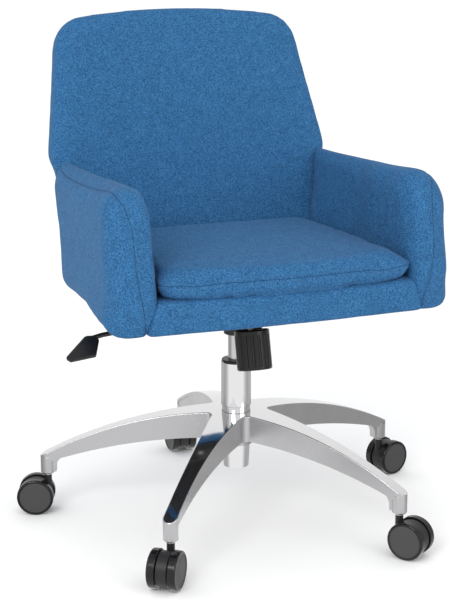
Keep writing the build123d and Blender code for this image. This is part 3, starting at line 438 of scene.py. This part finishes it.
# =========================================================================
# Tension spring
# =========================================================================
# The knob rides up its spring as the seat reclines, and the real spring shortens with it; here the wire
# is a smooth copy of its CAD node that rides with the column.
spring = twin_of(["tension_spring"], "tension_spring_wire")
bpy.ops.object.shade_smooth()
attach(spring, "column")
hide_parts("tension_spring")
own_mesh(spring)


# =========================================================================
# Finishes
# =========================================================================
FLOAT = "NodeSocketFloat"
VECTOR = "NodeSocketVector"


def new_material(name, base, roughness, metallic=0.0, **sockets):
    material = bpy.data.materials.new(name)
    material.use_nodes = True
    shader = material.node_tree.nodes["Principled BSDF"]
    shader.inputs["Base Color"].default_value = (*base, 1)
    shader.inputs["Roughness"].default_value = roughness
    shader.inputs["Metallic"].default_value = metallic
    for label, value in sockets.items():
        shader.inputs[label.replace("_", " ")].default_value = value
    return material, shader


def add_node(tree, kind, **values):
    """A node with its settings; values named in_... go to its input sockets."""
    node = tree.nodes.new(kind)
    for key, value in values.items():
        if key.startswith("in_"):
            node.inputs[key[3:].replace("_", " ")].default_value = value
        else:
            setattr(node, key, value)
    return node


def calc(tree, operation, *terms):
    """A math node on sockets or plain numbers."""
    node = add_node(tree, "ShaderNodeMath", operation=operation)
    for index, term in enumerate(terms):
        if isinstance(term, (int, float)):
            node.inputs[index].default_value = term
        else:
            tree.links.new(term, node.inputs[index])
    return node.outputs[0]


def spread(tree, value, low, high, new_low, new_high, smooth=False):
    """A value carried from one range to another."""
    node = add_node(tree, "ShaderNodeMapRange")
    if smooth:
        node.interpolation_type = "SMOOTHSTEP"
    limits = {"From Min": low, "From Max": high, "To Min": new_low, "To Max": new_high}
    for label, number in limits.items():
        node.inputs[label].default_value = number
    tree.links.new(value, node.inputs["Value"])
    return node.outputs["Result"]


def mix_colours(tree, factor, first, second):
    """Two colours, plain or from sockets, mixed by a factor."""
    node = add_node(tree, "ShaderNodeMix", data_type="RGBA")
    for label, kind, value in (("Factor", "VALUE", factor), ("A", "RGBA", first), ("B", "RGBA", second)):
        socket = next(s for s in node.inputs if s.name == label and s.type == kind)
        if isinstance(value, (int, float)):
            socket.default_value = value
        elif isinstance(value, tuple):
            socket.default_value = (*value, 1)
        else:
            tree.links.new(value, socket)
    return next(s for s in node.outputs if s.type == "RGBA")


def new_group(name, inputs, outputs):
    """An empty node group, with its input and output nodes."""
    tree = bpy.data.node_groups.new(name, "ShaderNodeTree")
    for label, kind, value in inputs:
        socket = tree.interface.new_socket(label, in_out="INPUT", socket_type=kind)
        socket.default_value = value
    for label, kind in outputs:
        tree.interface.new_socket(label, in_out="OUTPUT", socket_type=kind)
    return tree, tree.nodes.new("NodeGroupInput"), tree.nodes.new("NodeGroupOutput")


def noise(tree, place, scale, detail=2.0, roughness=0.5):
    node = add_node(tree, "ShaderNodeTexNoise", in_Detail=detail, in_Roughness=roughness)
    tree.links.new(place, node.inputs["Vector"])
    if isinstance(scale, (int, float)):
        node.inputs["Scale"].default_value = scale
    else:
        tree.links.new(scale, node.inputs["Scale"])
    return node.outputs["Fac"]


def object_place(tree):
    return tree.nodes.new("ShaderNodeTexCoord").outputs["Object"]


def group_in(tree, group, **values):
    return add_node(tree, "ShaderNodeGroup", node_tree=group, **values)


def shade(colour, factor):
    """A plain colour made darker or lighter."""
    return tuple(factor * value for value in colour)


def add_relief(tree, shader, height, strength, distance):
    """Fine relief from a height, as a bump on the shader's normal."""
    bump = add_node(tree, "ShaderNodeBump", in_Strength=strength, in_Distance=distance)
    tree.links.new(height, bump.inputs["Height"])
    tree.links.new(bump.outputs["Normal"], shader.inputs["Normal"])


def make_weave_group():
    """Plain weave of heathered yarn, seen the same way from every side of a piece."""
    tree, gin, gout = new_group(
        "heathered_weave",
        [("Yarn", FLOAT, 2600.0), ("Fleck", FLOAT, 420.0)],
        [("Height", FLOAT), ("Fleck", FLOAT), ("Cloud", FLOAT)],
    )
    place = object_place(tree)
    split = add_node(tree, "ShaderNodeSeparateXYZ")
    tree.links.new(place, split.inputs[0])
    facing = add_node(tree, "ShaderNodeSeparateXYZ")
    tree.links.new(tree.nodes.new("ShaderNodeNewGeometry").outputs["Normal"], facing.inputs[0])
    waves = []
    for axis in range(3):
        turns = calc(tree, "MULTIPLY", split.outputs[axis], gin.outputs["Yarn"])
        waves.append(calc(tree, "SINE", turns))
    weave = None
    for axis, first, second in ((0, 1, 2), (1, 0, 2), (2, 0, 1)):
        share = calc(tree, "POWER", calc(tree, "ABSOLUTE", facing.outputs[axis]), 2.0)
        part = calc(tree, "MULTIPLY", share, calc(tree, "MULTIPLY", waves[first], waves[second]))
        weave = part if weave is None else calc(tree, "ADD", weave, part)
    fleck = noise(tree, place, gin.outputs["Fleck"], 3.0, 0.7)
    tree.links.new(calc(tree, "ADD", calc(tree, "MULTIPLY", weave, 0.5), fleck), gout.inputs["Height"])
    tree.links.new(fleck, gout.inputs["Fleck"])
    tree.links.new(noise(tree, place, 60.0, 2.0), gout.inputs["Cloud"])
    return tree


def make_wear_group():
    """Uneven polish: handling marks over a surface and fine scratches in it."""
    tree, gin, gout = new_group(
        "worn_polish",
        [("Marks", FLOAT, 35.0), ("Grain", FLOAT, 900.0), ("Stretch", VECTOR, (1, 1, 1))],
        [("Marks", FLOAT), ("Grain", FLOAT)],
    )
    place = object_place(tree)
    stretch = add_node(tree, "ShaderNodeVectorMath", operation="MULTIPLY")
    tree.links.new(place, stretch.inputs[0])
    tree.links.new(gin.outputs["Stretch"], stretch.inputs[1])
    tree.links.new(noise(tree, place, gin.outputs["Marks"], 4.0, 0.6), gout.inputs["Marks"])
    tree.links.new(noise(tree, stretch.outputs[0], gin.outputs["Grain"], 2.0, 0.6), gout.inputs["Grain"])
    return tree


def make_wheel_group():
    """Distance from a wheel's axle, for its rim and its flat disc."""
    tree, gin, gout = new_group(
        "wheel_radius",
        [("Hub", VECTOR, (0, 0, 0)), ("Axle", VECTOR, (1, 0, 0))],
        [("Radius", FLOAT)],
    )
    from_hub = add_node(tree, "ShaderNodeVectorMath", operation="SUBTRACT")
    tree.links.new(object_place(tree), from_hub.inputs[0])
    tree.links.new(gin.outputs["Hub"], from_hub.inputs[1])
    cross = add_node(tree, "ShaderNodeVectorMath", operation="CROSS_PRODUCT")
    tree.links.new(from_hub.outputs[0], cross.inputs[0])
    tree.links.new(gin.outputs["Axle"], cross.inputs[1])
    length = add_node(tree, "ShaderNodeVectorMath", operation="LENGTH")
    tree.links.new(cross.outputs[0], length.inputs[0])
    tree.links.new(length.outputs["Value"], gout.inputs["Radius"])
    return tree


SEAM_LINE = 0.9              # millimetres either side of a seam that look dark

weave_group = make_weave_group()
wear_group = make_wear_group()
wheel_group = make_wheel_group()


def fabric_material(name, dark, middle, light):
    """Heathered wool-look cloth with a dark line along its seams."""
    material, shader = new_material(
        name, middle, 0.9, Specular_IOR_Level=0.12, Sheen_Weight=0.05, Sheen_Roughness=0.4
    )
    tree = material.node_tree
    weave = group_in(tree, weave_group)
    colours = add_node(tree, "ShaderNodeValToRGB")
    stops = colours.color_ramp.elements
    stops[0].position, stops[0].color = 0.34, (*dark, 1)
    stops[1].position, stops[1].color = 0.68, (*light, 1)
    stops.new(0.5).color = (*middle, 1)
    tree.links.new(weave.outputs["Fleck"], colours.inputs["Fac"])
    tone = add_node(tree, "ShaderNodeHueSaturation")
    tree.links.new(colours.outputs["Color"], tone.inputs["Color"])
    tree.links.new(spread(tree, weave.outputs["Cloud"], 0.3, 0.7, 0.93, 1.07), tone.inputs["Value"])
    side = add_node(tree, "ShaderNodeAttribute", attribute_name="seam_side")
    near = add_node(tree, "ShaderNodeAttribute", attribute_name="seam_near")
    beside = calc(tree, "ABSOLUTE", side.outputs["Fac"])
    closeness = spread(tree, beside, 0.0, SEAM_LINE, 1.0, 0.0, smooth=True)
    on_seam = calc(tree, "MULTIPLY", closeness, spread(tree, near.outputs["Fac"], 0.4, 0.6, 0.0, 1.0))
    shadow = calc(tree, "MULTIPLY", on_seam, 0.75)
    cloth = mix_colours(tree, shadow, tone.outputs["Color"], shade(dark, 0.25))
    tree.links.new(cloth, shader.inputs["Base Color"])
    add_relief(tree, shader, weave.outputs["Height"], 0.45, 0.0005)
    return material


def thread_material(name, colour):
    """Twisted sewing thread."""
    material, shader = new_material(name, colour, 0.7, Sheen_Weight=0.2)
    tree = material.node_tree
    grain = noise(tree, object_place(tree), 2500.0, 2.0)
    yarn = mix_colours(tree, grain, shade(colour, 0.6), shade(colour, 1.4))
    tree.links.new(yarn, shader.inputs["Base Color"])
    add_relief(tree, shader, grain, 0.4, 0.0002)
    return material


def metal_material(
    name, colour, roughness, stretch=(1, 1, 1), grain=900.0, depth=0.05, marks=0.06, **sockets
):
    """Metal with handling marks in its polish and fine grain along one direction."""
    material, shader = new_material(name, colour, roughness, 1.0, **sockets)
    tree = material.node_tree
    wear = group_in(tree, wear_group, in_Grain=grain, in_Stretch=stretch)
    polish = spread(tree, wear.outputs["Marks"], 0.35, 0.75, roughness, roughness + marks)
    tree.links.new(polish, shader.inputs["Roughness"])
    add_relief(tree, shader, wear.outputs["Grain"], depth, 0.0003)
    return material, shader, wear


def plastic_material(name, colour, roughness, grain=1400.0, depth=0.25, marks=0.12, **sockets):
    """Moulded plastic or paint: fine spark grain, dust and rubbed patches."""
    material, shader = new_material(name, colour, roughness, **sockets)
    tree = material.node_tree
    wear = group_in(tree, wear_group, in_Marks=45.0, in_Grain=grain)
    gloss = spread(tree, wear.outputs["Marks"], 0.35, 0.7, roughness, roughness + marks)
    tree.links.new(gloss, shader.inputs["Roughness"])
    rubbed = spread(tree, wear.outputs["Marks"], 0.4, 0.8, 0.0, 0.6)
    tree.links.new(mix_colours(tree, rubbed, colour, shade(colour, 1.7)), shader.inputs["Base Color"])
    add_relief(tree, shader, wear.outputs["Grain"], depth, 0.0003)
    return material, shader, wear


def cast_base_material():
    """Cast aluminium star base: mirror-polished tops, satin sides and undersides."""
    material, shader, wear = metal_material("cast_aluminium", (0.80, 0.80, 0.81), 0.30, depth=0.03)
    tree = material.node_tree
    facing = add_node(tree, "ShaderNodeSeparateXYZ")
    tree.links.new(tree.nodes.new("ShaderNodeNewGeometry").outputs["Normal"], facing.inputs[0])
    top = spread(tree, facing.outputs["Z"], 0.60, 0.92, 0.0, 1.0, smooth=True)
    satin = spread(tree, wear.outputs["Marks"], 0.35, 0.75, 0.26, 0.36)
    polish = spread(tree, wear.outputs["Marks"], 0.35, 0.75, 0.07, 0.12)
    gap = calc(tree, "SUBTRACT", polish, satin)
    tree.links.new(calc(tree, "MULTIPLY_ADD", gap, top, satin), shader.inputs["Roughness"])
    tone = mix_colours(tree, top, (0.54, 0.54, 0.55), (0.79, 0.79, 0.80))
    tree.links.new(tone, shader.inputs["Base Color"])
    return material


DISC_RADIUS = 0.0262         # the matt disc in a wheel's face


def wheel_material(name, hub, axle):
    """Glossy rim and tread round a flat matt disc, with dust where the wheel rolls."""
    material, shader, wear = plastic_material(name, (0.006, 0.006, 0.007), 0.12, depth=0.06,
                                              Specular_IOR_Level=0.4)
    tree = material.node_tree
    zone = group_in(tree, wheel_group, in_Hub=hub, in_Axle=axle)
    disc = spread(tree, zone.outputs["Radius"], DISC_RADIUS, DISC_RADIUS + 0.0006, 1.0, 0.0)
    dust = spread(tree, wear.outputs["Marks"], 0.45, 0.75, 0.0, 0.35)
    rim = mix_colours(tree, dust, (0.004, 0.004, 0.005), (0.020, 0.019, 0.018))
    tree.links.new(mix_colours(tree, disc, rim, (0.050, 0.050, 0.052)), shader.inputs["Base Color"])
    rim_gloss = spread(tree, wear.outputs["Marks"], 0.35, 0.7, 0.08, 0.18)
    tree.links.new(calc(tree, "MULTIPLY_ADD", disc, 0.42, rim_gloss), shader.inputs["Roughness"])
    return material


def wood_material():
    """Plywood of the hidden boards."""
    material, shader = new_material("birch_plywood", (0.45, 0.30, 0.16), 0.6)
    tree = material.node_tree
    rings = add_node(tree, "ShaderNodeTexWave", in_Scale=60.0, in_Distortion=6.0, in_Detail=3.0)
    tree.links.new(object_place(tree), rings.inputs["Vector"])
    grain = mix_colours(tree, rings.outputs["Fac"], (0.52, 0.36, 0.20), (0.36, 0.22, 0.11))
    tree.links.new(grain, shader.inputs["Base Color"])
    return material


def lining_material():
    """Black spun lining under the seat."""
    material, shader = new_material("spun_lining", (0.012, 0.012, 0.013), 0.95)
    tree = material.node_tree
    fibre = noise(tree, object_place(tree), 1500.0, 3.0, 0.7)
    felt = mix_colours(tree, fibre, (0.006, 0.006, 0.007), (0.024, 0.024, 0.026))
    tree.links.new(felt, shader.inputs["Base Color"])
    add_relief(tree, shader, fibre, 0.5, 0.0004)
    return material


def give(nodes, material):
    """Puts a finish on CAD nodes."""
    for node in nodes:
        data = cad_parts[node].data
        data.materials.clear()
        data.materials.append(material)


upholstery = fabric_material(
    "blue_heather", (0.011, 0.059, 0.160), (0.026, 0.112, 0.254), (0.056, 0.182, 0.365)
)
lining = lining_material()
for piece in (back, arm_left, arm_right, rail, cushion):
    piece.data.materials.append(upholstery)
for piece in (arm_left, arm_right, rail):
    piece.data.materials.append(lining)
    for face in piece.data.polygons:
        x, y, z = face.center
        underside = z < LINING_TOP_Z and face.normal.z < -0.9
        if underside and abs(x) < LINING_HALF and LINING_FRONT_Y < y < LINING_REAR_Y:
            face.material_index = 1
thread = thread_material("blue_thread", (0.022, 0.095, 0.22))
for rows in stitches:
    rows.data.materials.append(thread)

chrome, _, _ = metal_material("mirror_chrome", (0.82, 0.82, 0.83), 0.05, stretch=(1, 1, 0.1), depth=0.02,
                                Specular_Tint=(0.35, 0.35, 0.35, 1))
hard_chrome, _, _ = metal_material("ground_rod", (0.60, 0.60, 0.61), 0.16, stretch=(0.1, 0.1, 1))
steel, _, _ = metal_material("zinc_steel", (0.55, 0.55, 0.54), 0.34, marks=0.15)
spring_steel, _, _ = metal_material("oiled_spring", (0.16, 0.15, 0.14), 0.30, marks=0.2)
black_paint, _, _ = plastic_material("satin_black_paint", (0.012, 0.012, 0.013), 0.36, grain=500.0)
black_plastic, _, _ = plastic_material("grained_black_plastic", (0.008, 0.008, 0.009), 0.30,
                                       Specular_IOR_Level=0.4)
hood_plastic, _, _ = plastic_material("caster_hood_plastic", (0.014, 0.014, 0.015), 0.36,
                                      Specular_IOR_Level=0.35)
knob_plastic, _, _ = plastic_material("knob_plastic", (0.005, 0.005, 0.006), 0.20, depth=0.1,
                                      Specular_IOR_Level=0.4)
paddle_plastic, _, _ = plastic_material("paddle_plastic", (0.005, 0.005, 0.006), 0.24, depth=0.12,
                                        Specular_IOR_Level=0.4)
lever_coat, _, _ = plastic_material("lever_black_oxide", (0.008, 0.008, 0.009), 0.22, depth=0.1)

give(["star_base"], cast_base_material())
give(["stand_tube"], chrome)
give(["gas_cylinder", "piston_rod"], hard_chrome)
give(["tilt_housing", "seat_plate"], black_paint)
give(["guide_sleeve", "caster_sockets"], black_plastic)
give(["tension_knob"], knob_plastic)
spring.data.materials.append(spring_steel)
give(["lever_rod"], lever_coat)
give(["lever_paddle"], paddle_plastic)
give(["seat_board", "back_board", "arm_board_left", "arm_board_right"], wood_material())
give(["under_cover"], lining)
give(["thrust_bearing", "retaining_clip", "pivot_pin", "plate_bolts", "tee_nuts", "tension_bolt",
      "valve_pin", "lever_carrier"], steel)
for number in range(1, 6):
    caster = f"caster_{number}"
    give([f"{caster}_body"], hood_plastic)
    give([f"{caster}_stem", f"{caster}_axle"], steel)
    wheels = [f"{caster}_wheel_left", f"{caster}_wheel_right"]
    middles = [(np.array(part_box(wheel)[0]) + np.array(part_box(wheel)[1])) / 2 for wheel in wheels]
    axle = (middles[1] - middles[0]) / np.linalg.norm(middles[1] - middles[0])
    for wheel, middle in zip(wheels, middles):
        give([wheel], wheel_material(f"{wheel}_plastic", tuple(middle), tuple(axle)))

# =========================================================================
# Floor and light
# =========================================================================
bpy.ops.mesh.primitive_plane_add(size=60)
floor = bpy.context.object
floor.name = "floor"
floor_material, _ = new_material("floor", (0.95, 0.95, 0.95), 0.9, Specular_IOR_Level=0.0)
floor.data.materials.append(floor_material)


def soft_light(name, place, target, size, power):
    bpy.ops.object.light_add(type="AREA", location=place)
    lamp = bpy.context.object
    lamp.name = name
    lamp.data.shape = "DISK"
    lamp.data.size = size
    lamp.data.energy = power
    aim = Vector(target) - Vector(place)
    lamp.rotation_euler = aim.to_track_quat("-Z", "Y").to_euler()


soft_light("key_light", (-2.4, -2.4, 2.4), (0, 0, 0.4), 1.8, 52)
soft_light("fill_light", (1.6, -2.8, 1.4), (0, 0, 0.4), 2.0, 14)


def set_walls(tree, direction):
    """What polished metal mirrors: white before and behind the set, grey at its sides."""
    flat = add_node(tree, "ShaderNodeVectorMath", operation="MULTIPLY")
    tree.links.new(direction, flat.inputs[0])
    flat.inputs[1].default_value = (1, 1, 0)
    unit = add_node(tree, "ShaderNodeVectorMath", operation="NORMALIZE")
    tree.links.new(flat.outputs[0], unit.inputs[0])
    toward = add_node(tree, "ShaderNodeVectorMath", operation="DOT_PRODUCT")
    tree.links.new(unit.outputs[0], toward.inputs[0])
    toward.inputs[1].default_value = (-0.377, -0.926, 0)
    walls = add_node(tree, "ShaderNodeValToRGB")
    stops = walls.color_ramp.elements
    stops[0].position, stops[0].color = 0.0, (0.95, 0.95, 0.95, 1)
    stops[1].position, stops[1].color = 0.80, (0.98, 0.98, 0.98, 1)
    for position, level in ((0.10, 0.85), (0.28, 0.52), (0.48, 0.42), (0.64, 0.60)):
        stops.new(position).color = (level, level, level, 1)
    tree.links.new(spread(tree, toward.outputs["Value"], -1.0, 1.0, 0.0, 1.0), walls.inputs["Fac"])
    return walls.outputs["Color"]


def mix_by_ray(tree, ray, first, second):
    """The second shader for one kind of ray, the first for the others."""
    mix = tree.nodes.new("ShaderNodeMixShader")
    tree.links.new(tree.nodes.new("ShaderNodeLightPath").outputs[ray], mix.inputs[0])
    tree.links.new(first, mix.inputs[1])
    tree.links.new(second, mix.inputs[2])
    return mix.outputs[0]


def make_studio():
    """An even white studio, with its walls as metal mirrors them."""
    world = bpy.data.worlds.new("studio")
    bpy.context.scene.world = world
    world.use_nodes = True
    tree = world.node_tree
    plain = tree.nodes["Background"]
    plain.inputs["Color"].default_value = (1, 1, 1, 1)
    plain.inputs["Strength"].default_value = 1.1
    mirrored_walls = tree.nodes.new("ShaderNodeBackground")
    direction = tree.nodes.new("ShaderNodeTexCoord").outputs["Generated"]
    tree.links.new(set_walls(tree, direction), mirrored_walls.inputs["Color"])
    tree.links.new(
        mix_by_ray(tree, "Is Glossy Ray", plain.outputs[0], mirrored_walls.outputs[0]),
        tree.nodes["World Output"].inputs["Surface"],
    )
    tree = floor_material.node_tree
    seen_floor = tree.nodes["Principled BSDF"]
    mirrored_floor = tree.nodes.new("ShaderNodeEmission")
    tree.links.new(set_walls(tree, object_place(tree)), mirrored_floor.inputs["Color"])
    tree.links.new(
        mix_by_ray(tree, "Is Glossy Ray", seen_floor.outputs[0], mirrored_floor.outputs[0]),
        tree.nodes["Material Output"].inputs["Surface"],
    )


make_studio()
bpy.context.scene.view_settings.view_transform = "Standard"
